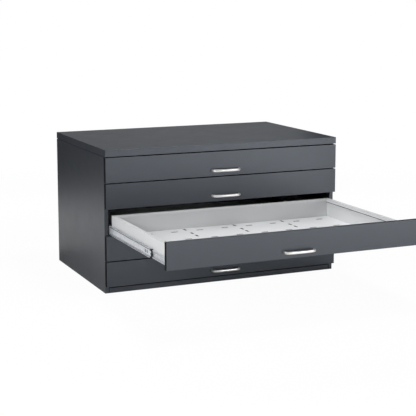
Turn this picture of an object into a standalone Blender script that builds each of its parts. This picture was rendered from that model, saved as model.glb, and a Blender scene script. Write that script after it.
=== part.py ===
"""Flat file cabinet in painted sheet steel, with five shallow drawers on ball-bearing slides.

The third drawer from the top stands open. +X is to the right, the drawers open towards -Y and +Z is up.
The origin lies on the floor, under the middle of the whole object with that drawer open.
"""

import math

import bmesh
import bpy
from mathutils import Matrix, Vector

MM = 0.001

# Cabinet
WIDTH = 1100 * MM
DEPTH = 700 * MM
BASE_HEIGHT = 29 * MM
RIM_HEIGHT = 28.75 * MM
DRAWER_PITCH = 111 * MM
DRAWER_COUNT = 5
CARCASS_SHEET = 1.2 * MM
FLANGE_WIDTH = 17 * MM
FLANGE_LIP = 12 * MM
RIM_RETURN = 15 * MM
SHADOW_GROOVE = 3 * MM
BASE_CLEARANCE = 2 * MM
BASE_RETURN = 14 * MM
BACK_LAP = 12 * MM

# Uprights that carry the slides, one in each corner
UPRIGHT_SHEET = 1.5 * MM
UPRIGHT_WIDTH = 40 * MM
UPRIGHT_INSET = 4 * MM
HOOK_HEIGHT = 12 * MM
HOOK_WIDTH = 5 * MM

# Gaps shared by all pieces
SEAT = 0.3 * MM
FRONT_GAP = 4.5 * MM
FRONT_STANDOFF = 4 * MM
REAR_CLEARANCE = 9 * MM
OVERRUN = 4 * MM

# Slides: an outer rail on the uprights, a middle rail that runs in it, an inner rail on the drawer
SLIDE_REAR_GAP = 27.5 * MM
SLIDE_THICKNESS = 12.7 * MM
SLIDE_STEEL = 1.2 * MM
SLIDE_INSET = 1.5 * MM
SLIDE_CENTRE = 22 * MM
OUTER_RAIL_HEIGHT = 45.7 * MM
OUTER_RAIL_DEPTH = 9 * MM
OUTER_RAIL_LIP = 2.4 * MM
MIDDLE_RAIL_HEIGHT = 37 * MM
MIDDLE_RAIL_DEPTH = 8.7 * MM
MIDDLE_RAIL_SETBACK = 2.2 * MM
MIDDLE_RAIL_LIP = 2.4 * MM
MIDDLE_RAIL_DISH = 1.8 * MM
MIDDLE_RAIL_RACEWAY = 7 * MM
INNER_RAIL_HEIGHT = 28 * MM
INNER_RAIL_DEPTH = 7.1 * MM
CAGE_LENGTH = 150 * MM
CAGE_DEPTH = 3.4 * MM
RETAINER_LENGTH = 2.2 * MM

# Drawer box
DRAWER_SHEET = 1 * MM
DRAWER_UNDERSIDE = 0.25 * MM
WALL_HEIGHT = 82.5 * MM
WALL_FLANGE = 15 * MM
WALL_LIP = 14 * MM
WALL_STEP = 4 * MM
WALL_LEDGE = 14 * MM
WALL_HOLE = 5 * MM
WALL_HOLE_DROP = 19 * MM
WALL_HOLE_COUNT = 2
WALL_HOLE_SIDES = 12

# Slots in the drawer floor, for dividers
SLOT_WIDTH = 7 * MM
SLOT_LENGTH = 27 * MM
SLOT_LEFT_MARGIN = 130 * MM
SLOT_RIGHT_MARGIN = 69 * MM
SLOT_FRONT_MARGIN = 44 * MM
SLOT_REAR_MARGIN = 55 * MM
SLOT_COLUMNS = 8
SLOT_ROWS = 12
SLOT_ROWS_PER_GROUP = 3

# Drawer front and handle
FRONT_THICKNESS = 17 * MM
FRONT_SHEET = 1.2 * MM
FRONT_DRAIN = 8 * MM
FRONT_SIDE_INSET = 1 * MM
HANDLE_HEIGHT = 28 * MM
HANDLE_SPAN = 128 * MM
HANDLE_REACH = 28 * MM
HANDLE_BAR_HEIGHT = 11 * MM
HANDLE_BAR_THICKNESS = 6 * MM
HANDLE_FOOT_THICKNESS = 8 * MM
HANDLE_SQUARENESS = 4
HANDLE_SIDES = 12
HANDLE_STEPS = 14

# How far a drawer comes out past its slides' length, the middle rails' share, and which drawer is open
OVERTRAVEL = 25 * MM
MIDDLE_SHARE = 0.723
OPEN_DRAWER = 3

# Sizes and places worked out from the ones above, with Y from the face of the closed fronts
HALF_WIDTH = WIDTH / 2
HEIGHT = BASE_HEIGHT + DRAWER_COUNT * DRAWER_PITCH + FRONT_GAP / 2 + RIM_HEIGHT
RIM_BOTTOM = HEIGHT - RIM_HEIGHT
FLANGE_Y = FRONT_THICKNESS + FRONT_STANDOFF
FLANGE_EDGE_X = HALF_WIDTH - FLANGE_WIDTH
SIDE_INSIDE_X = HALF_WIDTH - CARCASS_SHEET
BACK_INSIDE_Y = DEPTH - 2 * CARCASS_SHEET - SEAT
RAIL_X = FLANGE_EDGE_X - SEAT
RAIL_Y = FLANGE_Y + SLIDE_INSET
SLIDE_LENGTH = DEPTH - SLIDE_REAR_GAP - RAIL_Y
TRAVEL = SLIDE_LENGTH + OVERTRAVEL
MIDDLE_TRAVEL = MIDDLE_SHARE * TRAVEL
FRONT_PLANE_Y = (TRAVEL + HANDLE_REACH - DEPTH) / 2
DRAWER_X = RAIL_X - SLIDE_THICKNESS
DRAWER_REAR_Y = BACK_INSIDE_Y - REAR_CLEARANCE
WALL_START_Y = FRONT_THICKNESS + SEAT
WALL_BOTTOM = FRONT_GAP / 2 + DRAWER_UNDERSIDE
WALL_TOP = WALL_BOTTOM + WALL_HEIGHT
FLOOR_BOTTOM = WALL_BOTTOM + DRAWER_SHEET + SEAT
FLOOR_TOP = FLOOR_BOTTOM + DRAWER_SHEET
WALL_INSIDE = WALL_FLANGE - WALL_STEP
WALL_LENGTH = DRAWER_REAR_Y - WALL_START_Y
TRAY_HALF_WIDTH = DRAWER_X - WALL_INSIDE
TRAY_REAR_Y = DRAWER_REAR_Y - WALL_INSIDE


def clear_scene():
    for obj in list(bpy.data.objects):
        bpy.data.objects.remove(obj, do_unlink=True)


def paint(name, color, metallic, roughness):
    """A plain material."""
    made = bpy.data.materials.new(name)
    made.use_nodes = True
    shader = made.node_tree.nodes["Principled BSDF"]
    shader.inputs["Base Color"].default_value = (*color, 1)
    shader.inputs["Metallic"].default_value = metallic
    shader.inputs["Roughness"].default_value = roughness
    made.diffuse_color = (*color, 1)
    return made


def block(low, high):
    """A closed box between two corners."""
    shape = bmesh.new()
    bmesh.ops.create_cube(shape, size=1)
    size = Vector(high) - Vector(low)
    middle = (Vector(high) + Vector(low)) / 2
    fitted = Matrix.Translation(middle) @ Matrix.Diagonal((*size, 1))
    bmesh.ops.transform(shape, matrix=fitted, verts=shape.verts)
    return shape


def prism(outline, axis, start, end):
    """An outline extruded along an axis. Its points hold the other two coordinates, in their order."""
    shape = bmesh.new()
    corners = []
    for first, second in outline:
        corner = [first, second]
        corner.insert(axis, start)
        corners.append(shape.verts.new(corner))
    face = shape.faces.new(corners)
    extruded = bmesh.ops.extrude_face_region(shape, geom=[face])
    moved = [item for item in extruded["geom"] if isinstance(item, bmesh.types.BMVert)]
    step = Vector((0, 0, 0))
    step[axis] = end - start
    bmesh.ops.translate(shape, vec=step, verts=moved)
    bmesh.ops.recalc_face_normals(shape, faces=shape.faces)
    return shape


def folded(path, thickness):
    """The outline of a sheet folded along a path, with its thickness on the left of the path."""
    points = [Vector(point) for point in path]
    normals = []
    for here, there in zip(points, points[1:]):
        along = (there - here).normalized()
        normals.append(Vector((-along.y, along.x)))
    inner = []
    for index, point in enumerate(points):
        before = normals[max(index - 1, 0)]
        after = normals[min(index, len(normals) - 1)]
        inner.append(point + (before + after) * thickness / (1 + before.dot(after)))
    return [tuple(point) for point in points + inner[::-1]]


def mesh_of(shape, name):
    mesh = bpy.data.meshes.new(name)
    shape.to_mesh(mesh)
    shape.free()
    return mesh


def combined(name, base, joins=(), cuts=()):
    """The mesh of a shape after other shapes are joined to it and cut from it."""
    solid = bpy.data.objects.new(name, mesh_of(base, name))
    bpy.context.scene.collection.objects.link(solid)
    helpers = []
    for operation, shapes in (("UNION", joins), ("DIFFERENCE", cuts)):
        for shape in shapes:
            helper = bpy.data.objects.new("helper", mesh_of(shape, "helper"))
            bpy.context.scene.collection.objects.link(helper)
            modifier = solid.modifiers.new(operation, "BOOLEAN")
            modifier.operation = operation
            modifier.object = helper
            helpers.append(helper)
    bpy.context.view_layer.update()
    graph = bpy.context.evaluated_depsgraph_get()
    result = bpy.data.meshes.new_from_object(solid.evaluated_get(graph))
    result.name = name
    for obj in (*helpers, solid):
        bpy.data.objects.remove(obj, do_unlink=True)
    return result


def mirrored(mesh):
    """The same mesh for the other side of the cabinet."""
    shape = bmesh.new()
    shape.from_mesh(mesh)
    bmesh.ops.scale(shape, vec=(-1, 1, 1), verts=shape.verts)
    bmesh.ops.reverse_faces(shape, faces=shape.faces)
    return mesh_of(shape, mesh.name)


def merged(shapes):
    """Several shapes that don't meet, as one cutter."""
    whole = bmesh.new()
    for shape in shapes:
        part = mesh_of(shape, "part")
        whole.from_mesh(part)
        bpy.data.meshes.remove(part)
    return whole


def empty(name, parent, location):
    made = bpy.data.objects.new(name, None)
    made.parent = parent
    made.location = location
    bpy.context.scene.collection.objects.link(made)
    return made


def place(name, mesh, finish, parent):
    """A named piece on the body that carries it. Its mesh is drawn in that body's own frame."""
    made = bpy.data.objects.new(name, mesh)
    if finish.name not in mesh.materials:
        mesh.materials.clear()
        mesh.materials.append(finish)
    made.parent = parent
    bpy.context.scene.collection.objects.link(made)
    return made


def top_panel_mesh():
    """A pan turned upside down, with a deep rim and a narrow return all round."""
    body = block((-HALF_WIDTH, 0, RIM_BOTTOM), (HALF_WIDTH, DEPTH, HEIGHT))
    inside = block(
        (-SIDE_INSIDE_X, CARCASS_SHEET, RIM_BOTTOM + CARCASS_SHEET),
        (SIDE_INSIDE_X, DEPTH - CARCASS_SHEET, HEIGHT - CARCASS_SHEET),
    )
    mouth = block(
        (RIM_RETURN - HALF_WIDTH, RIM_RETURN, RIM_BOTTOM - OVERRUN),
        (HALF_WIDTH - RIM_RETURN, DEPTH - RIM_RETURN, RIM_BOTTOM + OVERRUN),
    )
    return combined("top_panel", body, cuts=(inside, mouth))


def side_panel_mesh():
    """The right side: a pan with its turned-in edges on the inside, stepped in below the top's rim."""
    shoulder = RIM_BOTTOM - SHADOW_GROOVE
    crest = RIM_BOTTOM - SEAT
    neck_x = HALF_WIDTH - SHADOW_GROOVE
    neck_y = FLANGE_Y + SHADOW_GROOVE
    neck_rear_y = DEPTH - SHADOW_GROOVE
    body = block((FLANGE_EDGE_X, FLANGE_Y, 0), (HALF_WIDTH, DEPTH, shoulder))
    neck = block((FLANGE_EDGE_X, neck_y, shoulder - OVERRUN), (neck_x, neck_rear_y, crest))
    inside = block(
        (FLANGE_EDGE_X + CARCASS_SHEET, FLANGE_Y + CARCASS_SHEET, CARCASS_SHEET),
        (SIDE_INSIDE_X, DEPTH - CARCASS_SHEET, shoulder - CARCASS_SHEET),
    )
    neck_inside = block(
        (FLANGE_EDGE_X - OVERRUN, neck_y + CARCASS_SHEET, shoulder - 2 * CARCASS_SHEET),
        (neck_x - CARCASS_SHEET, neck_rear_y - CARCASS_SHEET, crest - CARCASS_SHEET),
    )
    mouth = block(
        (FLANGE_EDGE_X - OVERRUN, FLANGE_Y + CARCASS_SHEET + FLANGE_LIP, CARCASS_SHEET),
        (FLANGE_EDGE_X + OVERRUN, DEPTH - CARCASS_SHEET, shoulder - CARCASS_SHEET),
    )
    return combined("side_panel", body, joins=(neck,), cuts=(inside, neck_inside, mouth))


def back_panel_mesh():
    """A flat sheet behind the rear flanges of the sides, with its top and bottom edges turned forward."""
    outer_y = DEPTH - CARCASS_SHEET - SEAT
    low = CARCASS_SHEET + SEAT
    high = RIM_BOTTOM - SHADOW_GROOVE - CARCASS_SHEET - SEAT
    path = [
        (outer_y - BACK_LAP / 2, low),
        (outer_y, low),
        (outer_y, high),
        (outer_y - BACK_LAP / 2, high),
    ]
    half = FLANGE_EDGE_X + BACK_LAP
    return mesh_of(prism(folded(path, CARCASS_SHEET), 0, -half, half), "back_panel")


def base_pan_mesh():
    """Closes the cabinet below, with an apron down to the floor at the front and the back."""
    top = BASE_HEIGHT - BASE_CLEARANCE
    rear = BACK_INSIDE_Y - BACK_LAP
    path = [
        (FLANGE_Y + BASE_RETURN, 0),
        (FLANGE_Y, 0),
        (FLANGE_Y, top),
        (rear, top),
        (rear, 0),
        (rear - BASE_RETURN, 0),
    ]
    half = FLANGE_EDGE_X - SEAT
    return mesh_of(prism(folded(path[::-1], CARCASS_SHEET), 0, -half, half), "base_pan")


def upright_mesh(start_y):
    """A channel inside the right side panel, with hook slots at the height of each slide."""
    low = CARCASS_SHEET + SEAT
    high = RIM_BOTTOM - SHADOW_GROOVE - CARCASS_SHEET - SEAT
    foot_x = SIDE_INSIDE_X - SEAT
    path = [
        (foot_x, start_y + UPRIGHT_WIDTH),
        (FLANGE_EDGE_X, start_y + UPRIGHT_WIDTH),
        (FLANGE_EDGE_X, start_y),
        (foot_x, start_y),
    ]
    channel = prism(folded(path, UPRIGHT_SHEET), 2, low, high)
    middle_y = start_y + UPRIGHT_WIDTH / 2
    slots = []
    for number in range(1, DRAWER_COUNT + 1):
        middle_z = cell_bottom(number) + SLIDE_CENTRE
        slots.append(
            block(
                (FLANGE_EDGE_X - OVERRUN, middle_y - HOOK_WIDTH / 2, middle_z - HOOK_HEIGHT / 2),
                (FLANGE_EDGE_X + OVERRUN, middle_y + HOOK_WIDTH / 2, middle_z + HOOK_HEIGHT / 2),
            )
        )
    return combined("upright", channel, cuts=(merged(slots),))


def rail(path):
    """A rolled slide member of the right side. Its path starts from its cabinet side and its middle line."""
    return folded([(RAIL_X - across, SLIDE_CENTRE + up) for across, up in path], SLIDE_STEEL)


def outer_rail_mesh():
    half = OUTER_RAIL_HEIGHT / 2
    path = [
        (OUTER_RAIL_DEPTH, OUTER_RAIL_LIP - half),
        (OUTER_RAIL_DEPTH, -half),
        (0, -half),
        (0, half),
        (OUTER_RAIL_DEPTH, half),
        (OUTER_RAIL_DEPTH, half - OUTER_RAIL_LIP),
    ]
    return mesh_of(prism(rail(path), 1, RAIL_Y, RAIL_Y + SLIDE_LENGTH), "outer_rail")


def middle_rail_mesh():
    """The middle member: raceways above and below a dished web, with ball cages at its ends."""
    half = MIDDLE_RAIL_HEIGHT / 2
    near = MIDDLE_RAIL_SETBACK
    far = near + MIDDLE_RAIL_DEPTH
    dish = near + MIDDLE_RAIL_DISH
    race = half - MIDDLE_RAIL_RACEWAY
    path = [
        (far, MIDDLE_RAIL_LIP - half),
        (far, -half),
        (near, -half),
        (near, -race),
        (dish, MIDDLE_RAIL_DISH - race),
        (dish, race - MIDDLE_RAIL_DISH),
        (near, race),
        (near, half),
        (far, half),
        (far, half - MIDDLE_RAIL_LIP),
    ]
    start = RAIL_Y
    end = RAIL_Y + SLIDE_LENGTH
    member = prism(rail(path), 1, start, end)
    outer_gap = (half - SEAT, OUTER_RAIL_HEIGHT / 2 - SLIDE_STEEL - SEAT)
    inner_gap = (INNER_RAIL_HEIGHT / 2 + SEAT, half - SLIDE_STEEL + SEAT)
    cages = []
    for side in (-1, 1):
        for (low, high), (from_y, to_y), across in (
            (outer_gap, (end - CAGE_LENGTH, end - OVERRUN), near + SLIDE_STEEL),
            (inner_gap, (start - RETAINER_LENGTH, start + CAGE_LENGTH), near + MIDDLE_RAIL_DEPTH / 2),
        ):
            ends = sorted((SLIDE_CENTRE + side * low, SLIDE_CENTRE + side * high))
            cages.append(
                block(
                    (RAIL_X - across - CAGE_DEPTH, from_y, ends[0]),
                    (RAIL_X - across, to_y, ends[1]),
                )
            )
    return combined("middle_rail", member, joins=cages)


def wall_outline(outside, direction):
    """The folded box section of a drawer wall, from the ledge that holds the floor to the inner face.

    Its outer face lies at the value outside, and direction is the way from there to the drawer's inside.
    """
    path = [
        (WALL_LEDGE, WALL_BOTTOM),
        (0, WALL_BOTTOM),
        (0, WALL_TOP),
        (WALL_FLANGE, WALL_TOP),
        (WALL_FLANGE, WALL_TOP - WALL_LIP),
        (WALL_INSIDE, WALL_TOP - WALL_LIP),
        (WALL_INSIDE, FLOOR_TOP + SEAT),
    ]
    placed = [(outside + direction * inward, up) for inward, up in path]
    return folded(placed, DRAWER_SHEET)


def drawer_side_mesh():
    """The right wall of a drawer, with the inner slide member on its outer face."""
    wall = prism(wall_outline(DRAWER_X, -1), 1, WALL_START_Y, DRAWER_REAR_Y)
    half = INNER_RAIL_HEIGHT / 2
    near = SLIDE_THICKNESS - INNER_RAIL_DEPTH
    far = SLIDE_THICKNESS + SEAT
    member = prism(
        folded(
            [
                (RAIL_X - near, SLIDE_CENTRE + half),
                (RAIL_X - far, SLIDE_CENTRE + half),
                (RAIL_X - far, SLIDE_CENTRE - half),
                (RAIL_X - near, SLIDE_CENTRE - half),
            ],
            SLIDE_STEEL,
        ),
        1,
        RAIL_Y,
        RAIL_Y + SLIDE_LENGTH,
    )
    holes = []
    for index in range(WALL_HOLE_COUNT):
        middle_y = WALL_START_Y + WALL_LENGTH * (index + 1) / (WALL_HOLE_COUNT + 1)
        middle_z = WALL_TOP - WALL_HOLE_DROP
        outline = []
        for side in range(WALL_HOLE_SIDES):
            turn = 2 * math.pi * side / WALL_HOLE_SIDES
            across = math.cos(turn) * WALL_HOLE / 2
            up = math.sin(turn) * WALL_HOLE / 2
            outline.append((middle_y + across, middle_z + up))
        holes.append(prism(outline, 0, TRAY_HALF_WIDTH - OVERRUN, TRAY_HALF_WIDTH + OVERRUN))
    return combined("drawer_side", wall, joins=(member,), cuts=(merged(holes),))


def drawer_back_mesh():
    half = DRAWER_X - WALL_FLANGE - SEAT
    return mesh_of(prism(wall_outline(DRAWER_REAR_Y, -1), 0, -half, half), "drawer_back")


def floor_slots():
    """Slots across the drawer in every third row, and slots along it in the rows between."""
    first_x = SLOT_LEFT_MARGIN - TRAY_HALF_WIDTH
    last_x = TRAY_HALF_WIDTH - SLOT_RIGHT_MARGIN
    column_pitch = (last_x - first_x) / (SLOT_COLUMNS - 1)
    last_y = TRAY_REAR_Y - SLOT_REAR_MARGIN
    row_pitch = (last_y - WALL_START_Y - SLOT_FRONT_MARGIN) / (SLOT_ROWS - 1)
    between = [first_x + (column + 1 / 2) * column_pitch for column in range(1, SLOT_COLUMNS - 1, 2)]
    across = []
    along = [(x, last_y + SLOT_REAR_MARGIN / 2) for x in between]
    for row in range(SLOT_ROWS):
        row_y = last_y - row * row_pitch
        if row % SLOT_ROWS_PER_GROUP == 0:
            for column in range(SLOT_COLUMNS):
                across.append((first_x + column * column_pitch, row_y))
        else:
            along += [(x, row_y) for x in between]
    sizes = [(point, SLOT_LENGTH, SLOT_WIDTH) for point in across]
    sizes += [(point, SLOT_WIDTH, SLOT_LENGTH) for point in along]
    slots = []
    for (x, y), wide, deep in sizes:
        slots.append(
            block(
                (x - wide / 2, y - deep / 2, FLOOR_BOTTOM - OVERRUN),
                (x + wide / 2, y + deep / 2, FLOOR_TOP + OVERRUN),
            )
        )
    return merged(slots)


def drawer_floor_mesh():
    half = DRAWER_X - DRAWER_SHEET - SEAT
    rear = DRAWER_REAR_Y - DRAWER_SHEET - SEAT
    plate = block((-half, WALL_START_Y, FLOOR_BOTTOM), (half, rear, FLOOR_TOP))
    return combined("drawer_floor", plate, cuts=(floor_slots(),))


def drawer_front_mesh():
    """A folded box over the full width of the cabinet, with a long slot left open along its underside."""
    half = HALF_WIDTH - FRONT_SIDE_INSET
    low = FRONT_GAP / 2
    high = DRAWER_PITCH - FRONT_GAP / 2
    body = block((-half, 0, low), (half, FRONT_THICKNESS, high))
    inside = block(
        (FRONT_SHEET - half, FRONT_SHEET, low + FRONT_SHEET),
        (half - FRONT_SHEET, FRONT_THICKNESS - FRONT_SHEET, high - FRONT_SHEET),
    )
    middle = FRONT_THICKNESS / 2
    drain = block(
        (2 * FRONT_SHEET - half, middle - FRONT_DRAIN / 2, low - OVERRUN),
        (half - 2 * FRONT_SHEET, middle + FRONT_DRAIN / 2, low + OVERRUN),
    )
    return combined("drawer_front", body, cuts=(inside, drain))


def handle_path():
    """Points along the middle of the handle's bar, from its right foot to its left one, and their flare.

    The bar follows a flattened arch that meets the front at right angles. The flare is 1 at the feet and
    falls to 0 in the middle of the bar.
    """
    half_span = HANDLE_SPAN / 2
    rise = HANDLE_REACH - HANDLE_BAR_THICKNESS / 2 - SEAT
    power = 2 / HANDLE_SQUARENESS
    points = []
    for step in range(HANDLE_STEPS + 1):
        angle = math.pi * step / HANDLE_STEPS
        across = math.cos(angle)
        x = math.copysign(half_span * abs(across) ** power, across)
        y = -SEAT - rise * math.sin(angle) ** power
        points.append((Vector((x, y)), across**4))
    return points


def handle_mesh():
    """A bow swept along its path, with an oval section that is thicker at its feet."""
    path = handle_path()
    last = len(path) - 1
    shape = bmesh.new()
    rings = []
    for index, (point, flare) in enumerate(path):
        if index == 0:
            along = Vector((0, -1))
        elif index == last:
            along = Vector((0, 1))
        else:
            along = (path[index + 1][0] - path[index - 1][0]).normalized()
        outward = Vector((-along.y, along.x))
        thickness = HANDLE_BAR_THICKNESS + (HANDLE_FOOT_THICKNESS - HANDLE_BAR_THICKNESS) * flare
        ring = []
        for side in range(HANDLE_SIDES):
            turn = 2 * math.pi * side / HANDLE_SIDES
            spot = point + outward * (math.cos(turn) * thickness / 2)
            up = HANDLE_HEIGHT + math.sin(turn) * HANDLE_BAR_HEIGHT / 2
            ring.append(shape.verts.new((spot.x, spot.y, up)))
        rings.append(ring)
    for before, after in zip(rings, rings[1:]):
        for side in range(HANDLE_SIDES):
            beyond = (side + 1) % HANDLE_SIDES
            shape.faces.new((before[side], before[beyond], after[beyond], after[side]))
    shape.faces.new(rings[0])
    shape.faces.new(rings[-1])
    bmesh.ops.recalc_face_normals(shape, faces=shape.faces)
    mesh = mesh_of(shape, "handle")
    mesh.shade_smooth()
    mesh.set_sharp_from_angle(angle=math.radians(40))
    return mesh


def cell_bottom(number):
    """The height of the space of a drawer, counted from the top one."""
    return BASE_HEIGHT + (DRAWER_COUNT - number) * DRAWER_PITCH


def build_carcass(cabinet, finish):
    place("top_panel", top_panel_mesh(), finish, cabinet)
    side = side_panel_mesh()
    place("right_side_panel", side, finish, cabinet)
    place("left_side_panel", mirrored(side), finish, cabinet)
    place("back_panel", back_panel_mesh(), finish, cabinet)
    place("base_pan", base_pan_mesh(), finish, cabinet)
    front_y = FLANGE_Y + CARCASS_SHEET + FLANGE_LIP + UPRIGHT_INSET
    rear_y = RAIL_Y + SLIDE_LENGTH - UPRIGHT_WIDTH - UPRIGHT_INSET
    for where, start_y in (("front", front_y), ("rear", rear_y)):
        upright = upright_mesh(start_y)
        place(f"right_{where}_upright", upright, finish, cabinet)
        place(f"left_{where}_upright", mirrored(upright), finish, cabinet)


def build_drawers(cabinet, finishes):
    """Each drawer and its pair of middle rails hang on an empty of their own, which slides along Y."""
    painted, light, zinc, satin = finishes
    front = drawer_front_mesh()
    handle = handle_mesh()
    tray_floor = drawer_floor_mesh()
    back = drawer_back_mesh()
    side = drawer_side_mesh()
    outer = outer_rail_mesh()
    middle = middle_rail_mesh()
    other_side = mirrored(side)
    other_outer = mirrored(outer)
    other_middle = mirrored(middle)
    for number in range(1, DRAWER_COUNT + 1):
        name = f"drawer_{number}"
        share = 1 if number == OPEN_DRAWER else 0
        low = cell_bottom(number)
        drawer = empty(name, cabinet, (0, -share * TRAVEL, low))
        carriage = empty(f"{name}_middle_rails", cabinet, (0, -share * MIDDLE_TRAVEL, low))
        fixed = empty(f"{name}_outer_rails", cabinet, (0, 0, low))
        place(f"{name}_front", front, painted, drawer)
        place(f"{name}_handle", handle, satin, drawer)
        place(f"{name}_floor", tray_floor, light, drawer)
        place(f"{name}_back", back, light, drawer)
        place(f"{name}_right_side", side, light, drawer)
        place(f"{name}_left_side", other_side, light, drawer)
        place(f"{name}_right_middle_rail", middle, zinc, carriage)
        place(f"{name}_left_middle_rail", other_middle, zinc, carriage)
        place(f"{name}_right_outer_rail", outer, zinc, fixed)
        place(f"{name}_left_outer_rail", other_outer, zinc, fixed)


def main():
    clear_scene()
    painted = paint("anthracite_paint", (0.075, 0.08, 0.09), 0, 0.45)
    light = paint("light_grey_paint", (0.72, 0.74, 0.75), 0, 0.4)
    zinc = paint("zinc_plate", (0.68, 0.7, 0.73), 1, 0.3)
    satin = paint("satin_metal", (0.72, 0.71, 0.69), 1, 0.28)
    cabinet = empty("cabinet", None, (0, FRONT_PLANE_Y, 0))
    build_carcass(cabinet, painted)
    build_drawers(cabinet, (painted, light, zinc, satin))


main()
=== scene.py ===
"""Looks of the flat file cabinet: camera, studio, paints and metals, and its small fittings."""

import math

import bmesh
import bpy
from mathutils import Matrix, Vector


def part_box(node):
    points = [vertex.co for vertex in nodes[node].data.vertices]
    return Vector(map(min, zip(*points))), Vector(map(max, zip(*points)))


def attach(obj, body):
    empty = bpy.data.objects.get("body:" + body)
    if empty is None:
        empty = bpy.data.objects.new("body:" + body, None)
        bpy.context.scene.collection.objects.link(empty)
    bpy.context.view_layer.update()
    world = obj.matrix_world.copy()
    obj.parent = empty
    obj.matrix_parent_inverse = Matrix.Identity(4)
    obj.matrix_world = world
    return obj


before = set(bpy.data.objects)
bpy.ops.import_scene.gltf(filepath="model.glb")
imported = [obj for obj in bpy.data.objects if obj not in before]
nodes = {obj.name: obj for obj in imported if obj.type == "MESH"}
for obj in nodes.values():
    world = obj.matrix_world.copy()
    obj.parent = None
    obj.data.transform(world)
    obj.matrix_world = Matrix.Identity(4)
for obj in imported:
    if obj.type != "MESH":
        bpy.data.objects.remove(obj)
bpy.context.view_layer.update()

MM = 0.001
DRAWERS = range(1, 6)
SIDES = (("left", -1), ("right", 1))

# Sizes and places on the cabinet. Places are counted across from its middle plane, back from the face of
# the closed fronts and up from a drawer's floor line.
HALF_WIDTH = 550 * MM
FRONT_PLANE_Y = 1.5 * MM
FRONT_THICKNESS = 17 * MM
FRONT_HALF_GAP = 2.25 * MM
FRONT_SIDE_INSET = 1 * MM
SLIDE_CENTRE = 22 * MM
RAIL_X = 532.7 * MM
RAIL_START = 22.5 * MM
SLIDE_LENGTH = 650 * MM
OUTER_RAIL_HALF = 22.85 * MM
OUTER_RAIL_DEPTH = 9 * MM
MIDDLE_RAIL_SETBACK = 2.2 * MM
MIDDLE_RAIL_DEPTH = 8.7 * MM
INNER_RAIL_HALF = 14 * MM
INNER_RAIL_NEAR = 5.6 * MM
WALL_ACROSS = 12.7 * MM
WALL_STEP = 4 * MM
WALL_LIP = 14 * MM
LIP_SHADE_HEIGHT = 2.3 * MM
HANDLE_HEIGHT = 28 * MM
HANDLE_SPAN = 128 * MM
FLOOR_SHEET = 1 * MM

# Fittings: how deep one sinks into what carries it, the width of the black rims of painted shade round
# the slots, and the places along a slide of the inner member's screws, the web's slots and the balls
SINK = 0.05 * MM
SLOT_SHADE_RIM = 1.2 * MM
SLOT_MARGIN = 20 * MM
INNER_SCREWS = (34 * MM, 162 * MM, 354 * MM, 546 * MM)
WEB_SLOTS = (42 * MM, 61 * MM)
BALLS_START = 40 * MM
BALL_PITCH = 22 * MM
BALL_COUNT = 26

BOX_FACES = ((3, 2, 1, 0), (4, 5, 6, 7), (0, 1, 5, 4), (1, 2, 6, 5), (2, 3, 7, 6), (3, 0, 4, 7))


# ---- geometry helpers


def link(name, shape, material, body, smooth=40):
    """A new piece from a bmesh, on a body."""
    mesh = bpy.data.meshes.new(name)
    shape.to_mesh(mesh)
    shape.free()
    mesh.materials.append(material)
    mesh.shade_smooth()
    mesh.set_sharp_from_angle(angle=math.radians(smooth))
    piece = bpy.data.objects.new(name, mesh)
    bpy.context.scene.collection.objects.link(piece)
    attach(piece, body)
    return piece


def lathe(shape, profile, centre, axis, sides):
    """A turned form added to a bmesh, from (radius, height) pairs, height along axis from centre."""
    turn = Vector((0, 0, 1)).rotation_difference(Vector(axis)).to_matrix().to_4x4()
    place = Matrix.Translation(centre) @ turn
    rings = []
    for radius, height in profile:
        if radius == 0:
            rings.append([shape.verts.new(place @ Vector((0, 0, height)))])
            continue
        ring = []
        for step in range(sides):
            angle = 2 * math.pi * step / sides
            point = Vector((radius * math.cos(angle), radius * math.sin(angle), height))
            ring.append(shape.verts.new(place @ point))
        rings.append(ring)
    for before, after in zip(rings, rings[1:]):
        for step in range(sides):
            beyond = (step + 1) % sides
            if len(before) == 1:
                shape.faces.new((before[0], after[step], after[beyond]))
            elif len(after) == 1:
                shape.faces.new((before[step], after[0], before[beyond]))
            else:
                shape.faces.new((before[step], after[step], after[beyond], before[beyond]))


def pan_head(shape, centre, axis, radius=3.6 * MM, height=2.2 * MM, cross=True):
    """A domed screw head with a cross recess, its seat at centre."""
    dome = [
        (radius, 0),
        (radius, height * 0.35),
        (radius * 0.93, height * 0.66),
        (radius * 0.74, height * 0.9),
        (radius * 0.5, height),
    ]
    if cross:
        dome += [(radius * 0.42, height * 0.98), (radius * 0.3, height * 0.45), (0, height * 0.3)]
    else:
        dome += [(0, height * 1.04)]
    lathe(shape, dome, centre, axis, 24)


def washer(shape, centre, axis, inner, outer, thickness):
    """A flat washer with its outer edge broken."""
    profile = [
        (inner, 0),
        (outer, 0),
        (outer, thickness * 0.8),
        (outer - thickness * 0.3, thickness),
        (inner, thickness),
    ]
    lathe(shape, profile, centre, axis, 24)


def slab(shape, low, high, bevel):
    """A box with rounded edges added to a bmesh."""
    part = bmesh.new()
    bmesh.ops.create_cube(part, size=1)
    size = Vector(high) - Vector(low)
    middle = (Vector(high) + Vector(low)) / 2
    place = Matrix.Translation(middle) @ Matrix.Diagonal((*size, 1))
    bmesh.ops.transform(part, matrix=place, verts=part.verts)
    bmesh.ops.bevel(part, geom=list(part.edges), offset=bevel, segments=3, affect="EDGES", profile=0.5)
    mesh = bpy.data.meshes.new("part")
    part.to_mesh(mesh)
    part.free()
    shape.from_mesh(mesh)
    bpy.data.meshes.remove(mesh)


def plain_box(shape, low, high):
    """A box with sharp edges added to a bmesh."""
    corners = [
        shape.verts.new((x, y, z))
        for z in (low[2], high[2])
        for x, y in ((low[0], low[1]), (high[0], low[1]), (high[0], high[1]), (low[0], high[1]))
    ]
    for face in BOX_FACES:
        shape.faces.new([corners[index] for index in face])


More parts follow.
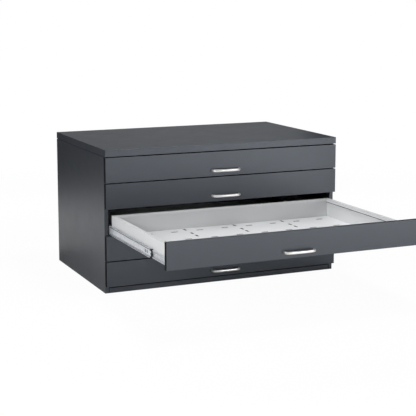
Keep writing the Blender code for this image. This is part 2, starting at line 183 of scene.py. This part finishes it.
def strip(shape, outline, side, centre_z, start, end):
    """(across, up) points run along Y, across counted from the rail plane towards the drawer."""
    rings = [
        [shape.verts.new((side * (RAIL_X - across), y, centre_z + up)) for across, up in outline]
        for y in (start, end)
    ]
    count = len(outline)
    for index in range(count):
        beyond = (index + 1) % count
        shape.faces.new((rings[0][index], rings[0][beyond], rings[1][beyond], rings[1][index]))
    shape.faces.new(rings[0])
    shape.faces.new(rings[1])


def tab(shape, side, across, up, along, bevel=0.4 * MM):
    """A rounded block on a slide, by its ranges across, up and along."""
    ends = sorted((side * (RAIL_X - across[0]), side * (RAIL_X - across[1])))
    slab(shape, (ends[0], min(along), min(up)), (ends[1], max(along), max(up)), bevel)


# ---- materials


class Recipe:
    """A material being put together from nodes."""

    def __init__(self, name):
        self.material = bpy.data.materials.new(name)
        self.material.use_nodes = True
        self.tree = self.material.node_tree
        self.shader = self.tree.nodes["Principled BSDF"]
        self.where = self.node("ShaderNodeTexCoord").outputs["Object"]

    def node(self, kind, **settings):
        made = self.tree.nodes.new(kind)
        for key, value in settings.items():
            setattr(made, key, value)
        return made

    def join(self, source, target):
        self.tree.links.new(source, target)

    def mapped(self, scale):
        mapping = self.node("ShaderNodeMapping")
        mapping.inputs["Scale"].default_value = scale
        self.join(self.where, mapping.inputs["Vector"])
        return mapping.outputs["Vector"]

    def noise(self, scale, detail=3.0, roughness=0.55, at=None, distortion=0.0):
        made = self.node("ShaderNodeTexNoise")
        made.inputs["Scale"].default_value = scale
        made.inputs["Detail"].default_value = detail
        made.inputs["Roughness"].default_value = roughness
        made.inputs["Distortion"].default_value = distortion
        self.join(at if at is not None else self.where, made.inputs["Vector"])
        return made.outputs["Fac"]

    def ranged(self, value, low, high, from_low=0.3, from_high=0.7):
        made = self.node("ShaderNodeMapRange")
        made.inputs["From Min"].default_value = from_low
        made.inputs["From Max"].default_value = from_high
        made.inputs["To Min"].default_value = low
        made.inputs["To Max"].default_value = high
        self.join(value, made.inputs["Value"])
        return made.outputs["Result"]

    def mixed(self, factor, first, second):
        """A colour between two, by a value from 0 to 1."""
        made = self.node("ShaderNodeMix", data_type="RGBA")
        self.join(factor, made.inputs["Factor"])
        for socket, color in ((made.inputs["A"], first), (made.inputs["B"], second)):
            socket.default_value = (*color, 1)
        return made.outputs["Result"]

    def summed(self, first, second, share):
        """The first value plus a share of the second."""
        made = self.node("ShaderNodeMath", operation="MULTIPLY_ADD")
        self.join(second, made.inputs[0])
        made.inputs[1].default_value = share
        self.join(first, made.inputs[2])
        return made.outputs[0]

    def bumped(self, height, distance):
        made = self.node("ShaderNodeBump")
        made.inputs["Distance"].default_value = distance
        self.join(height, made.inputs["Height"])
        self.join(made.outputs["Normal"], self.shader.inputs["Normal"])

    def color(self, socket):
        self.join(socket, self.shader.inputs["Base Color"])

    def rough(self, socket):
        self.join(socket, self.shader.inputs["Roughness"])


def powder_coat(name, dark, pale, rough_low, rough_high, specular, peel):
    """Sprayed paint: a fine orange peel, cloudy colour, and a soft sheen that varies a little."""
    recipe = Recipe(name)
    cloud = recipe.noise(2.4, detail=4)
    grain = recipe.noise(900, detail=2)
    both = recipe.summed(cloud, grain, 0.22)
    recipe.color(recipe.mixed(recipe.ranged(both, 0, 1, 0.36, 0.86), dark, pale))
    smear = recipe.noise(14, detail=5, roughness=0.65)
    recipe.rough(recipe.ranged(smear, rough_low, rough_high))
    recipe.bumped(recipe.noise(650, detail=3), peel)
    recipe.shader.inputs["Specular IOR Level"].default_value = specular
    return recipe.material


def rolled_zinc(name):
    """Bright zinc plate on rolled strip, with fine lines along the slide and a faint mottle."""
    recipe = Recipe(name)
    lines = recipe.noise(1, detail=4, roughness=0.7, at=recipe.mapped((1800, 14, 1800)))
    mottle = recipe.noise(70, detail=4, distortion=0.6)
    both = recipe.summed(mottle, lines, 0.8)
    share = recipe.ranged(both, 0, 1, 0.55, 1.25)
    recipe.color(recipe.mixed(share, (0.60, 0.635, 0.69), (0.90, 0.915, 0.94)))
    recipe.rough(recipe.ranged(lines, 0.24, 0.46))
    recipe.bumped(lines, 0.00004)
    recipe.shader.inputs["Metallic"].default_value = 0.65
    return recipe.material


def satin_metal(name):
    """Matt chrome with a fine brushed grain along the handle."""
    recipe = Recipe(name)
    grain = recipe.noise(1, detail=4, roughness=0.6, at=recipe.mapped((40, 2600, 2600)))
    cloud = recipe.noise(30, detail=3)
    recipe.color(recipe.mixed(recipe.ranged(cloud, 0, 1), (0.78, 0.77, 0.755), (0.90, 0.885, 0.87)))
    recipe.rough(recipe.ranged(grain, 0.26, 0.4))
    recipe.bumped(grain, 0.00003)
    recipe.shader.inputs["Metallic"].default_value = 0.8
    return recipe.material


def black_plastic(name):
    """Moulded black plastic with a fine grain."""
    recipe = Recipe(name)
    fine = recipe.noise(1400, detail=2)
    cloud = recipe.noise(60, detail=3)
    recipe.color(recipe.mixed(recipe.ranged(cloud, 0, 1), (0.006, 0.006, 0.007), (0.014, 0.014, 0.015)))
    recipe.rough(recipe.ranged(fine, 0.42, 0.58))
    recipe.bumped(fine, 0.00005)
    recipe.shader.inputs["Specular IOR Level"].default_value = 0.3
    return recipe.material


def black_rubber(name):
    """Dull black rubber with a little dust in its pores."""
    recipe = Recipe(name)
    pores = recipe.noise(2200, detail=3, roughness=0.7)
    dust = recipe.noise(25, detail=4)
    both = recipe.summed(dust, pores, 0.5)
    share = recipe.ranged(both, 0, 1, 0.6, 1.1)
    recipe.color(recipe.mixed(share, (0.004, 0.004, 0.0045), (0.011, 0.011, 0.012)))
    recipe.rough(recipe.ranged(pores, 0.72, 0.9))
    recipe.bumped(pores, 0.00008)
    recipe.shader.inputs["Specular IOR Level"].default_value = 0.12
    return recipe.material


ANTHRACITE = powder_coat(
    "anthracite_paint", (0.032, 0.0355, 0.0425), (0.036, 0.040, 0.048), 0.31, 0.35, 0.65, 0.000015
)
ANTHRACITE.node_tree.nodes["Principled BSDF"].inputs["Specular Tint"].default_value = (0.84, 0.91, 1, 1)
LIGHT_GREY = powder_coat(
    "light_grey_paint", (0.61, 0.62, 0.63), (0.67, 0.678, 0.686), 0.34, 0.44, 0.5, 0.00008
)
ZINC = rolled_zinc("zinc_plate")
SATIN = satin_metal("satin_metal")
BLACK = black_plastic("black_plastic")
RUBBER = black_rubber("black_rubber")
FINISHES = {
    "anthracite_paint": ANTHRACITE,
    "light_grey_paint": LIGHT_GREY,
    "zinc_plate": ZINC,
    "satin_metal": SATIN,
}


def dress(node):
    """The node's own finish, and edges rounded as folded sheet is."""
    obj = nodes[node]
    name = obj.material_slots[0].material.name.split(".")[0]
    finish = FINISHES.get(name, ANTHRACITE)
    for material_slot in obj.material_slots:
        material_slot.material = finish
    if node.endswith("_handle"):
        return
    weld = obj.modifiers.new("weld", "WELD")
    weld.merge_threshold = 0.01 * MM
    rounding = obj.modifiers.new("rounding", "BEVEL")
    rounding.width = 0.4 * MM
    rounding.segments = 2
    rounding.limit_method = "ANGLE"
    rounding.angle_limit = math.radians(40)
    rounding.harden_normals = True


for node_name in nodes:
    dress(node_name)


# ---- studio

# How far the floor is washed out to white for the camera. What it reflects onto the cabinet isn't.
FLOOR_BLEACH = 0.97

# A glowing ring of the floor round the cabinet, painted light that lights the cabinet and shows in its
# reflections: its strength, and where it begins and ends
FLOOR_GLOW = 0.56
FLOOR_GLOW_RISE = (1.35, 2.1)
FLOOR_GLOW_FALL = (2.3, 3.0)

# The floor's half side, how far below the ground plane it lies, and where it begins and ends to fade out
FLOOR_REACH = 4
FLOOR_DROP = 0.5 * MM
FLOOR_FADE = (1.8, 3.8)

# The camera: picture width in pixels, sensor width, focal length and shift in pixels, and its pose
PICTURE_WIDTH = 416
SENSOR_WIDTH = 36
FOCAL_LENGTH = 1147.9
LENS_SHIFT = -40
CAMERA_PLACE = (-2.0703, -4.4771, 1.2578)
CAMERA_YAW = 0.4175
CAMERA_PITCH = 0.1509


def stage_floor():
    """A pale sheet on the ground that fades out into the backdrop, with a glowing ring of painted light
    round the cabinet.
    """
    floor_mesh = bpy.data.meshes.new("floor")
    corners = [(x * FLOOR_REACH, y * FLOOR_REACH, 0) for x, y in ((-1, -1), (1, -1), (1, 1), (-1, 1))]
    floor_mesh.from_pydata(corners, [], [(0, 1, 2, 3)])
    floor = bpy.data.objects.new("floor", floor_mesh)
    bpy.context.scene.collection.objects.link(floor)
    floor.location.z = -FLOOR_DROP
    pale = Recipe("pale_floor")
    pale.color(pale.mixed(pale.ranged(pale.noise(3), 0, 1), (0.90, 0.90, 0.90), (0.93, 0.93, 0.93)))
    pale.shader.inputs["Roughness"].default_value = 0.8
    pale.shader.inputs["Specular IOR Level"].default_value = 0.1
    away = pale.node("ShaderNodeVectorMath", operation="LENGTH")
    pale.join(pale.where, away.inputs[0])
    distance = away.outputs["Value"]
    pale.join(pale.ranged(distance, 1, 0, *FLOOR_FADE), pale.shader.inputs["Alpha"])
    glow = pale.node("ShaderNodeMath", operation="MULTIPLY")
    pale.join(pale.ranged(distance, 0, 1, *FLOOR_GLOW_RISE), glow.inputs[0])
    pale.join(pale.ranged(distance, FLOOR_GLOW, 0, *FLOOR_GLOW_FALL), glow.inputs[1])
    pale.shader.inputs["Emission Color"].default_value = (1, 1, 1, 1)
    pale.join(glow.outputs[0], pale.shader.inputs["Emission Strength"])
    bleach = pale.node("ShaderNodeEmission")
    bleach.inputs["Color"].default_value = (1, 1, 1, 1)
    rays = pale.node("ShaderNodeLightPath")
    share = pale.node("ShaderNodeMath", operation="MULTIPLY")
    pale.join(rays.outputs["Is Camera Ray"], share.inputs[0])
    share.inputs[1].default_value = FLOOR_BLEACH
    blend = pale.node("ShaderNodeMixShader")
    pale.join(share.outputs[0], blend.inputs[0])
    pale.join(pale.shader.outputs[0], blend.inputs[1])
    pale.join(bleach.outputs[0], blend.inputs[2])
    pale.join(blend.outputs[0], pale.tree.nodes["Material Output"].inputs[0])
    floor_mesh.materials.append(pale.material)


def softbox(name, at, towards, width, height, power):
    """An area light at a place, turned towards another."""
    data = bpy.data.lights.new(name, "AREA")
    data.shape = "RECTANGLE"
    data.size = width
    data.size_y = height
    data.energy = power
    lamp = bpy.data.objects.new(name, data)
    lamp.location = at
    lamp.rotation_mode = "QUATERNION"
    lamp.rotation_quaternion = (Vector(towards) - Vector(at)).to_track_quat("-Z", "Y")
    bpy.context.scene.collection.objects.link(lamp)


def surroundings():
    """A white backdrop for the camera, and a dimmer grey one for the light that falls on the cabinet."""
    world = bpy.data.worlds.new("studio")
    bpy.context.scene.world = world
    world.use_nodes = True
    tree = world.node_tree
    seen = tree.nodes["Background"]
    seen.inputs["Color"].default_value = (1, 1, 1, 1)
    seen.inputs["Strength"].default_value = 1.0
    lighting = tree.nodes.new("ShaderNodeBackground")
    lighting.inputs["Color"].default_value = (0.95, 0.97, 1, 1)
    lighting.inputs["Strength"].default_value = 0.02
    rays = tree.nodes.new("ShaderNodeLightPath")
    blend = tree.nodes.new("ShaderNodeMixShader")
    tree.links.new(rays.outputs["Is Camera Ray"], blend.inputs[0])
    tree.links.new(lighting.outputs[0], blend.inputs[1])
    tree.links.new(seen.outputs[0], blend.inputs[2])
    tree.links.new(blend.outputs[0], tree.nodes["World Output"].inputs[0])


def camera():
    """The photograph's camera, with only a part of its lens shift, as other views keep it too."""
    data = bpy.data.cameras.new("camera")
    data.sensor_width = SENSOR_WIDTH
    data.lens = FOCAL_LENGTH / PICTURE_WIDTH * SENSOR_WIDTH
    data.shift_y = LENS_SHIFT / PICTURE_WIDTH
    data.clip_start = 0.05
    data.clip_end = 200
    seen_from = bpy.data.objects.new("camera", data)
    bpy.context.scene.collection.objects.link(seen_from)
    seen_from.location = CAMERA_PLACE
    seen_from.rotation_euler = (math.pi / 2 - CAMERA_PITCH, 0, -CAMERA_YAW)
    bpy.context.scene.camera = seen_from


stage_floor()
softbox("overhead", (0.2, -0.15, 2.6), (0.1, -0.15, 0.3), 0.8, 0.5, 36)
softbox("overhead_strip", (0.2, 0.35, 1.7), (0.2, 0.35, 0.3), 0.9, 0.4, 9)
softbox("left", (-3.0, -1.4, 1.7), (-0.3, 0, 0.3), 1.8, 1.2, 76)
softbox("right", (2.4, -3.8, 0.8), (0.2, 0, 0.3), 1.8, 1.4, 32)
softbox("low_front", (0.6, -2.3, 0.03), (0.1, 0, 0.5), 2.6, 0.9, 18)
softbox("backdrop", (0.6, 4.2, 0.9), (0.2, 0.3, 0.5), 4.0, 1.4, 6)
surroundings()
camera()
bpy.context.scene.view_settings.view_transform = "Standard"


# ---- fittings


def floor_line(n):
    """The height of a drawer's floor line."""
    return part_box(f"drawer_{n}_front")[0].z - FRONT_HALF_GAP


def slide_middle(n):
    """The height of the middle of a drawer's slides."""
    return floor_line(n) + SLIDE_CENTRE


def way_out(n):
    """How far a drawer's front stands from its closed place, along Y."""
    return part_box(f"drawer_{n}_front")[0].y - FRONT_PLANE_Y


def inner_start(n):
    """Where the front ends of a drawer's inner slide members lie along Y."""
    return FRONT_PLANE_Y + way_out(n) + RAIL_START


def rail_start(n, side):
    """Where a middle rail's own front end lies along Y, without the solid ends of its cages."""
    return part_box(f"drawer_{n}_{side}_middle_rail")[1].y - SLIDE_LENGTH


def front_shade_caps(n):
    """Black end caps that close the two ends of a folded front. Their black is painted shade: it stands
    in for the shadow in the gap between the fronts and the side panels.
    """
    low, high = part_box(f"drawer_{n}_front")
    inset = 0.5 * MM
    shape = bmesh.new()
    for sign in (-1, 1):
        ends = sorted((sign * (HALF_WIDTH - FRONT_SIDE_INSET), sign * (HALF_WIDTH - 0.1 * MM)))
        slab(
            shape,
            (ends[0], low.y + inset, low.z + inset),
            (ends[1], high.y - inset, high.z - inset),
            0.3 * MM,
        )
    link(f"drawer_{n}_front_shade_caps", shape, RUBBER, f"drawer_{n}")


def base_shade_strips():
    """Black strips of painted shade in the corner above the base's apron and in the joints at its two
    ends, where shadow gaps fall.
    """
    low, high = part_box("base_pan")
    face = low.y
    shape = bmesh.new()
    top = high.z
    slab(
        shape,
        (low.x, face - 0.5 * MM, top - 5.2 * MM),
        (high.x, face + SINK, top - SINK),
        0.2 * MM,
    )
    for end in (low.x, high.x):
        slab(
            shape,
            (end - 1.3 * MM, face - 0.4 * MM, 0.3 * MM),
            (end + 1.3 * MM, face + SINK, top),
            0.15 * MM,
        )
    link("base_shade_strips", shape, RUBBER, "cabinet")


def inner_member(n, side, sign):
    """The bright inner slide member on the outside of a drawer wall: a channel with a beaded web."""
    middle = slide_middle(n)
    start = inner_start(n)
    far = WALL_ACROSS - 0.02 * MM
    face = WALL_ACROSS - 1.02 * MM
    near = INNER_RAIL_NEAR - 0.1 * MM
    top = INNER_RAIL_HALF + 0.12 * MM
    under = INNER_RAIL_HALF - 1.32 * MM
    bead = face - 0.7 * MM
    outline = [
        (far, top),
        (near, top),
        (near, under),
        (face, under),
        (face, 6.5 * MM),
        (bead, 5.2 * MM),
        (bead, 2.6 * MM),
        (face, 1.4 * MM),
        (face, -1.4 * MM),
        (bead, -2.6 * MM),
        (bead, -5.2 * MM),
        (face, -6.5 * MM),
        (face, -under),
        (near, -under),
        (near, -top),
        (far, -top),
    ]
    shape = bmesh.new()
    strip(shape, outline, sign, middle, start, start + SLIDE_LENGTH)
    bmesh.ops.recalc_face_normals(shape, faces=shape.faces)
    for along in INNER_SCREWS:
        centre = Vector((sign * (RAIL_X - face), start + along, middle))
        pan_head(shape, centre, (sign, 0, 0), 3.9 * MM, 1.6 * MM)
    link(f"drawer_{n}_{side}_inner_member", shape, ZINC, f"drawer_{n}")


def inner_lever(n, side, sign):
    """The black release lever near the front end of an inner slide member."""
    start = inner_start(n)
    middle = slide_middle(n)
    shape = bmesh.new()
    for across, up, along in (
        ((8.6 * MM, 11.6 * MM), (7.6 * MM, 2.4 * MM), (3 * MM, 19 * MM)),
        ((7.4 * MM, 11.2 * MM), (11.6 * MM, 6.6 * MM), (4 * MM, 9 * MM)),
    ):
        reach = (middle - up[0], middle - up[1])
        tab(shape, sign, across, reach, (start + along[0], start + along[1]))
    link(f"drawer_{n}_{side}_lever", shape, BLACK, f"drawer_{n}")


def raceways(n, side, sign):
    """Rolled ball grooves along the upper and lower band of a middle rail."""
    start = rail_start(n, side) + 0.3 * MM
    end = rail_start(n, side) + SLIDE_LENGTH - 0.3 * MM
    near = MIDDLE_RAIL_SETBACK
    shape = bmesh.new()
    for up_sign in (-1, 1):
        # Across in metres, up in millimetres
        profile = [
            (near + 0.5 * MM, 18.2),
            (near - 0.05 * MM, 18.2),
            (near - 0.5 * MM, 17.6),
            (near - 0.55 * MM, 16.9),
            (near - 0.2 * MM, 15.9),
            (near - 0.1 * MM, 14.9),
            (near - 0.2 * MM, 13.9),
            (near - 0.55 * MM, 12.9),
            (near - 0.5 * MM, 12.2),
            (near - 0.05 * MM, 11.6),
            (near + 0.5 * MM, 11.6),
        ]
        outline = [(across, up_sign * up * MM) for across, up in profile]
        strip(shape, outline, sign, slide_middle(n), start, end)
    bmesh.ops.recalc_face_normals(shape, faces=shape.faces)
    piece = link(f"drawer_{n}_{side}_raceways", shape, ZINC, f"drawer_{n}_middle_rails", smooth=60)


def ball_cage_shades(n, side, sign):
    """The dark strip of a ball cage in each groove of a middle rail, with the caps of its balls. The
    strip's black is partly the cage's own colour and partly painted shade for the gap in the groove.
    """
    start = rail_start(n, side)
    along = (start + 16 * MM, start + SLIDE_LENGTH - 12 * MM)
    near = MIDDLE_RAIL_SETBACK
    face = sign * (RAIL_X - near + 0.15 * MM)
    cap = [(1.0 * MM, 0.05 * MM), (0.9 * MM, 0.25 * MM), (0.55 * MM, 0.42 * MM), (0, 0.5 * MM)]
    cages = bmesh.new()
    balls = bmesh.new()
    for up in (-14.9 * MM, 14.9 * MM):
        groove = slide_middle(n) + up
        band = (groove - 1.15 * MM, groove + 1.15 * MM)
        tab(cages, sign, (near - 0.25 * MM, near + 0.4 * MM), band, along, 0.1 * MM)
        for step in range(BALL_COUNT):
            centre = Vector((face, start + BALLS_START + step * BALL_PITCH, groove))
            lathe(balls, cap, centre, (sign, 0, 0), 10)
    link(f"drawer_{n}_{side}_ball_cages", cages, BLACK, f"drawer_{n}_middle_rails")
    piece = link(f"drawer_{n}_{side}_balls", balls, ZINC, f"drawer_{n}_middle_rails", smooth=80)


def web_slot_shades(n, side, sign):
    """Two black plates on the web of a middle rail, behind its front end: painted shade for two punched
    slots.
    """
    start = rail_start(n, side)
    web = MIDDLE_RAIL_SETBACK + 1.8 * MM
    across = (web - 0.12 * MM, web + 0.5 * MM)
    middle = slide_middle(n)
    shape = bmesh.new()
    for along in WEB_SLOTS:
        span = (start + along - 3.6 * MM, start + along + 3.6 * MM)
        tab(shape, sign, across, (middle - 6 * MM, middle + 6 * MM), span, 0.1 * MM)
    link(f"drawer_{n}_{side}_web_slots", shape, BLACK, f"drawer_{n}_middle_rails")


def retainer(n, side, sign):
    """The black plastic stop on the front end of a middle rail, which holds its balls in."""
    start = rail_start(n, side)
    middle = slide_middle(n)
    near = MIDDLE_RAIL_SETBACK
    face = near - 0.8 * MM
    front = start - 4.4 * MM
    rear = start - 0.1 * MM
    shape = bmesh.new()
    web = (near - 0.75 * MM, near + 2.4 * MM)
    tab(shape, sign, web, (middle - 2.6 * MM, middle + 2.6 * MM), (front + 0.6 * MM, rear))
    spine = (near + 1.6 * MM, near + 2.4 * MM)
    tab(shape, sign, spine, (middle - 12 * MM, middle + 12 * MM), (front + 1.6 * MM, rear), 0.2 * MM)
    for up_sign in (-1, 1):
        band = (middle + up_sign * 11.6 * MM, middle + up_sign * 18 * MM)
        hook = (middle + up_sign * 14.5 * MM, middle + up_sign * 18 * MM)
        tongue = (start - 1 * MM, start + 9 * MM)
        tab(shape, sign, (face, INNER_RAIL_NEAR - 0.5 * MM), band, (front, rear), 0.8 * MM)
        tab(shape, sign, (face, near + MIDDLE_RAIL_DEPTH), hook, (front, rear), 0.8 * MM)
        tab(shape, sign, (face, near + 0.4 * MM), band, tongue, 0.3 * MM)
    link(f"drawer_{n}_{side}_retainer", shape, BLACK, f"drawer_{n}_middle_rails")


def outer_cap(n, side, sign):
    """The black plastic mouth of an outer rail, hooked over the edge of the side's flange."""
    start = FRONT_PLANE_Y + RAIL_START
    middle = slide_middle(n)
    depth = OUTER_RAIL_DEPTH
    shape = bmesh.new()
    plate = (start - 4.1 * MM, start - 1.6 * MM)
    reach = (middle - OUTER_RAIL_HALF, middle + OUTER_RAIL_HALF)
    tab(shape, sign, (-1.6 * MM, 1.2 * MM), reach, plate, 0.5 * MM)
    for up_sign in (-1, 1):
        band = (middle + up_sign * 19.2 * MM, middle + up_sign * OUTER_RAIL_HALF)
        tab(shape, sign, (-1.6 * MM, depth + 1.2 * MM), band, plate, 0.6 * MM)
        tab(shape, sign, (0.1 * MM, depth), band, (start - 2 * MM, start - 0.1 * MM), 0.4 * MM)
        inside = (middle + up_sign * 19.2 * MM, middle + up_sign * 21.4 * MM)
        tongue = (start - 0.5 * MM, start + 9 * MM)
        tab(shape, sign, (1.4 * MM, depth - 1.4 * MM), inside, tongue)
    link(f"drawer_{n}_{side}_outer_cap", shape, BLACK, "cabinet")


def wall_lip_shade_and_tab(n, side, sign):
    """A black strip of painted shadow under a drawer wall's lip, and the grey painted tab in its corner
    with the back wall.
    """
    wall_low, wall_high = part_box(f"drawer_{n}_{side}_side")
    back_low, back_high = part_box(f"drawer_{n}_back")
    lip = min(abs(wall_low.x), abs(wall_high.x))
    inside = lip + WALL_STEP
    under = wall_high.z - WALL_LIP
    rear = back_low.y + WALL_STEP
    # The black strip is painted shadow: it stands for the shade in the step under the lip.
    lip_shade = bmesh.new()
    across = sorted((sign * (lip + 0.4 * MM), sign * (inside + SINK)))
    slab(
        lip_shade,
        (across[0], wall_low.y + 2 * MM, under - LIP_SHADE_HEIGHT),
        (across[1], rear, under + SINK),
        0.2 * MM,
    )
    link(f"drawer_{n}_{side}_lip_seal", lip_shade, RUBBER, f"drawer_{n}")
    corner = bmesh.new()
    across = sorted((sign * (back_high.x - 0.3 * MM), sign * (inside + SINK)))
    slab(
        corner,
        (across[0], rear - 0.2 * MM, wall_low.z + 3 * MM),
        (across[1], rear + 0.8 * MM, under - 0.1 * MM),
        0.2 * MM,
    )
    piece = link(f"drawer_{n}_{side}_corner_tab", corner, LIGHT_GREY, f"drawer_{n}")


def slots_of(node):
    """The low and high corner of each slot punched through a floor plate, seen from above."""
    plate = bmesh.new()
    plate.from_mesh(nodes[node].data)
    bmesh.ops.remove_doubles(plate, verts=plate.verts, dist=0.01 * MM)
    plate.normal_update()
    low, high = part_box(node)
    left = set()
    for face in plate.faces:
        centre = face.calc_center_median()
        across = low.x + SLOT_MARGIN < centre.x < high.x - SLOT_MARGIN
        along = low.y + SLOT_MARGIN < centre.y < high.y - SLOT_MARGIN
        if across and along and abs(face.normal.z) < 0.1:
            left.add(face)
    found = []
    while left:
        group = [left.pop()]
        for face in group:
            for edge in face.edges:
                for other in edge.link_faces:
                    if other in left:
                        left.remove(other)
                        group.append(other)
        corners = [vert.co for face in group for vert in face.verts]
        found.append(
            (
                (min(corner.x for corner in corners), min(corner.y for corner in corners)),
                (max(corner.x for corner in corners), max(corner.y for corner in corners)),
            )
        )
    plate.free()
    return sorted(found)


def ring(shape, low, high, width, bottom, top):
    """A flat frame round a rectangle, added to a bmesh: its inner edge is the rectangle."""
    loops = []
    for grow, z in ((0, top), (width, top - 0.2 * MM), (width, bottom), (0, bottom)):
        xs = (low[0] - grow, high[0] + grow)
        ys = (low[1] - grow, high[1] + grow)
        places = ((xs[0], ys[0], z), (xs[1], ys[0], z), (xs[1], ys[1], z), (xs[0], ys[1], z))
        loops.append([shape.verts.new(place) for place in places])
    for before, after in zip(loops, loops[1:] + loops[:1]):
        for step in range(4):
            beyond = (step + 1) % 4
            shape.faces.new((before[step], after[step], after[beyond], before[beyond]))


def slot_shade_liners(n):
    """Black rims round a floor's slots, each with a dark tape that closes the slot from below: painted
    shade that makes the slots look dark.
    """
    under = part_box(f"drawer_{n}_floor")[0].z
    top = under + FLOOR_SHEET
    shape = bmesh.new()
    for corner, opposite in slots_of(f"drawer_{n}_floor"):
        ring(shape, corner, opposite, SLOT_SHADE_RIM, top - SINK, top + 0.4 * MM)
        plain_box(
            shape,
            (corner[0] - SLOT_SHADE_RIM, corner[1] - SLOT_SHADE_RIM, under - 0.4 * MM),
            (opposite[0] + SLOT_SHADE_RIM, opposite[1] + SLOT_SHADE_RIM, under + SINK),
        )
    bmesh.ops.recalc_face_normals(shape, faces=shape.faces)
    link(f"drawer_{n}_slot_shade_liners", shape, RUBBER, f"drawer_{n}")


def handle_screws(n):
    """Two screw heads with washers on the inner skin of a front, behind the handle's feet."""
    inner = FRONT_PLANE_Y + way_out(n) + FRONT_THICKNESS
    washer_thickness = 0.9 * MM
    shape = bmesh.new()
    for across in (-HANDLE_SPAN / 2, HANDLE_SPAN / 2):
        centre = Vector((across, inner, floor_line(n) + HANDLE_HEIGHT))
        washer(shape, centre, (0, 1, 0), 2.4 * MM, 5.2 * MM, washer_thickness)
        pan_head(shape, centre + Vector((0, washer_thickness, 0)), (0, 1, 0))
    link(f"drawer_{n}_handle_screws", shape, ZINC, f"drawer_{n}")


def back_rivets():
    """Blind rivets along the edges of the back sheet."""
    low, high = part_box("back_panel")
    shape = bmesh.new()
    inset = 6 * MM
    rows = 6
    for step in range(rows):
        up = low.z + 40 * MM + step / (rows - 1) * (high.z - low.z - 80 * MM)
        for across in (low.x + inset, high.x - inset):
            pan_head(shape, Vector((across, high.y, up)), (0, 1, 0), 3.2 * MM, 1.1 * MM, cross=False)
    link("back_rivets", shape, ANTHRACITE, "cabinet")


for number in DRAWERS:
    front_shade_caps(number)
    handle_screws(number)
    slot_shade_liners(number)
    for side_name, direction in SIDES:
        wall_lip_shade_and_tab(number, side_name, direction)
        inner_member(number, side_name, direction)
        inner_lever(number, side_name, direction)
        raceways(number, side_name, direction)
        ball_cage_shades(number, side_name, direction)
        web_slot_shades(number, side_name, direction)
        retainer(number, side_name, direction)
        outer_cap(number, side_name, direction)
back_rivets()
base_shade_strips()
